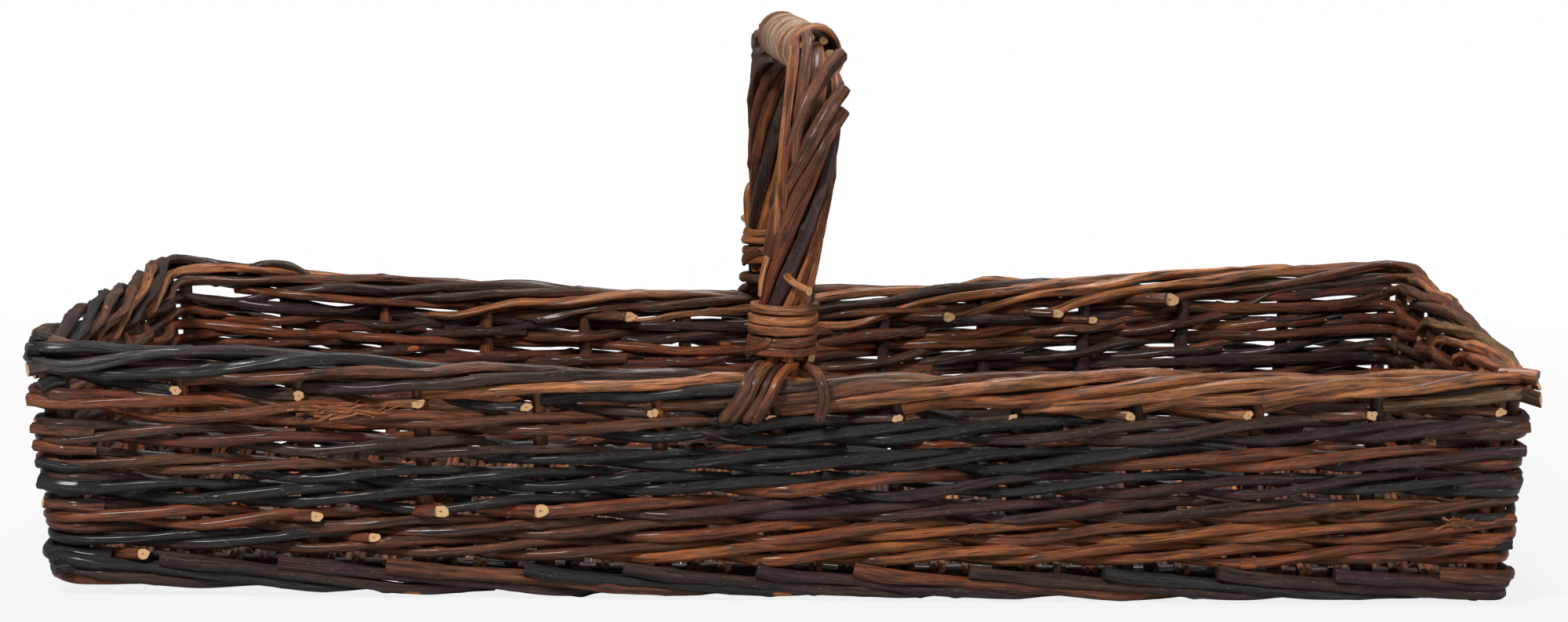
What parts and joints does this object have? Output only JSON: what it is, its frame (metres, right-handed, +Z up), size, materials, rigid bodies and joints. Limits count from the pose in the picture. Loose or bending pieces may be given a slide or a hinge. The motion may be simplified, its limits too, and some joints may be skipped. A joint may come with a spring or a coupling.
{
  "type": "willow garden trug",
  "caption": "Rectangular garden trug of unpeeled willow rods: open waled walls, woven base, rolled top border and a fixed roped handle across its middle.",
  "frame": {"origin": "middle of the footprint, on the floor that the basket stands on", "axes": "+X along the basket to the right as seen from the front, +Y from the front long wall to the rear one, +Z up"},
  "size_m": [0.606, 0.3086, 0.2289],
  "materials": {
    "stakes": "bark on, satin",
    "weavers": "bark on, satin",
    "foot_rods": "bark on, satin",
    "border_rods": "bark on, satin",
    "base_rods": "bark on, matt",
    "bow": "bark on, satin",
    "roping": "bark on, satin",
    "wrap": "split rods, matt"
  },
  "bodies": {
    "root": {"stakes_front": "stakes", "stakes_right": "stakes", "stakes_rear": "stakes", "stakes_left": "stakes", "wale_1_rod_1": "weavers", "wale_1_rod_2": "weavers", "wale_1_rod_3": "weavers", "wale_2_rod_1": "weavers", "wale_2_rod_2": "weavers", "wale_2_rod_3": "weavers", "wale_3_rod_1": "weavers", "wale_3_rod_2": "weavers", "wale_3_rod_3": "weavers", "wale_4_rod_1": "weavers", "wale_4_rod_2": "weavers", "wale_4_rod_3": "weavers", "wale_5_rod_1": "weavers", "wale_5_rod_2": "weavers", "wale_5_rod_3": "weavers", "wale_6_rod_1": "weavers", "wale_6_rod_2": "weavers", "wale_6_rod_3": "weavers", "foot_border_front": "foot_rods", "foot_border_right": "foot_rods", "foot_border_rear": "foot_rods", "foot_border_left": "foot_rods", "top_border_front": "border_rods", "top_border_right": "border_rods", "top_border_rear": "border_rods", "top_border_left": "border_rods", "top_border_core": "border_rods", "base_sticks": "base_rods", "base_weave": "base_rods", "handle_bow": "bow", "roping_rods_front": "roping", "roping_tails_front": "roping", "roping_rods_rear": "roping", "roping_tails_rear": "roping", "crown_rod_tips": "roping", "crown_wrap": "wrap", "leg_bindings": "wrap"}
  },
  "joints": []
}
